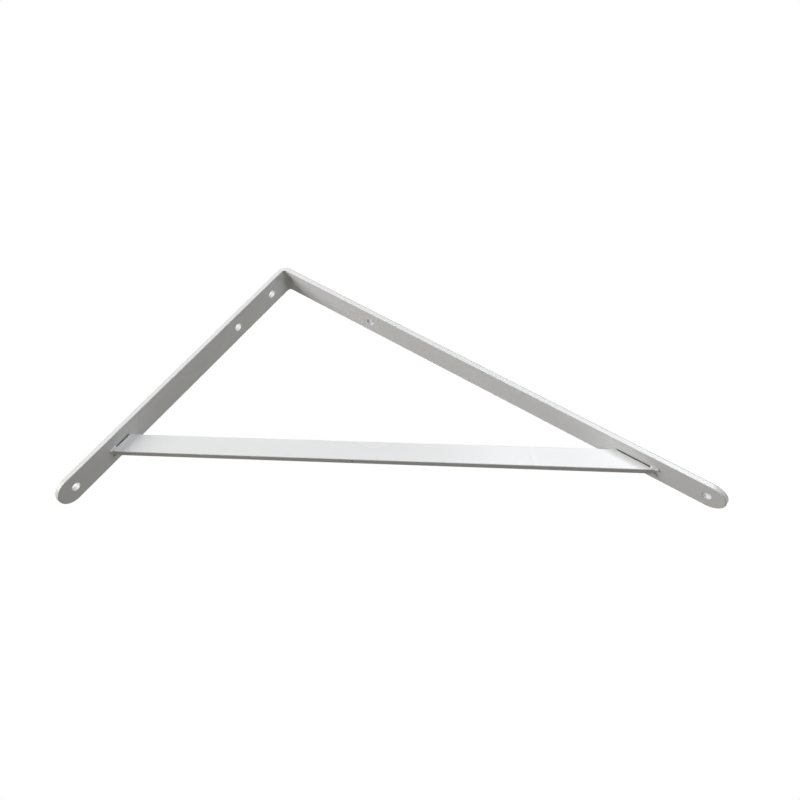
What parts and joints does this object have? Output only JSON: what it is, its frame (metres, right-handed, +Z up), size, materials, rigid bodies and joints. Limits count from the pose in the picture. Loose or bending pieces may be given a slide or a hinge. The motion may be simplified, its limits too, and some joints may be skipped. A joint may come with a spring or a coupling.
{
  "type": "shelf bracket",
  "caption": "Right-angled shelf bracket of bent flat bar with rounded ends, plain screw holes and a welded diagonal brace, white powder coat.",
  "frame": {"origin": "where the axis of the top wall screw meets the wall face, in the middle of the bar's width", "axes": "+Z up towards the shelf, +X out from the wall along the shelf arm, Y across the bar"},
  "size_m": [0.414, 0.025, 0.272],
  "materials": {
    "strap_paint": "semi-gloss white powder coat",
    "brace_paint": "semi-gloss white powder coat",
    "weld_paint": "semi-gloss white powder coat over weld beads"
  },
  "bodies": {
    "root": {"strap": "strap_paint", "brace": "brace_paint", "wall_tack_weld": "weld_paint", "shelf_tack_weld": "weld_paint", "wall_seam_weld": "weld_paint", "shelf_seam_weld": "weld_paint"}
  },
  "joints": []
}
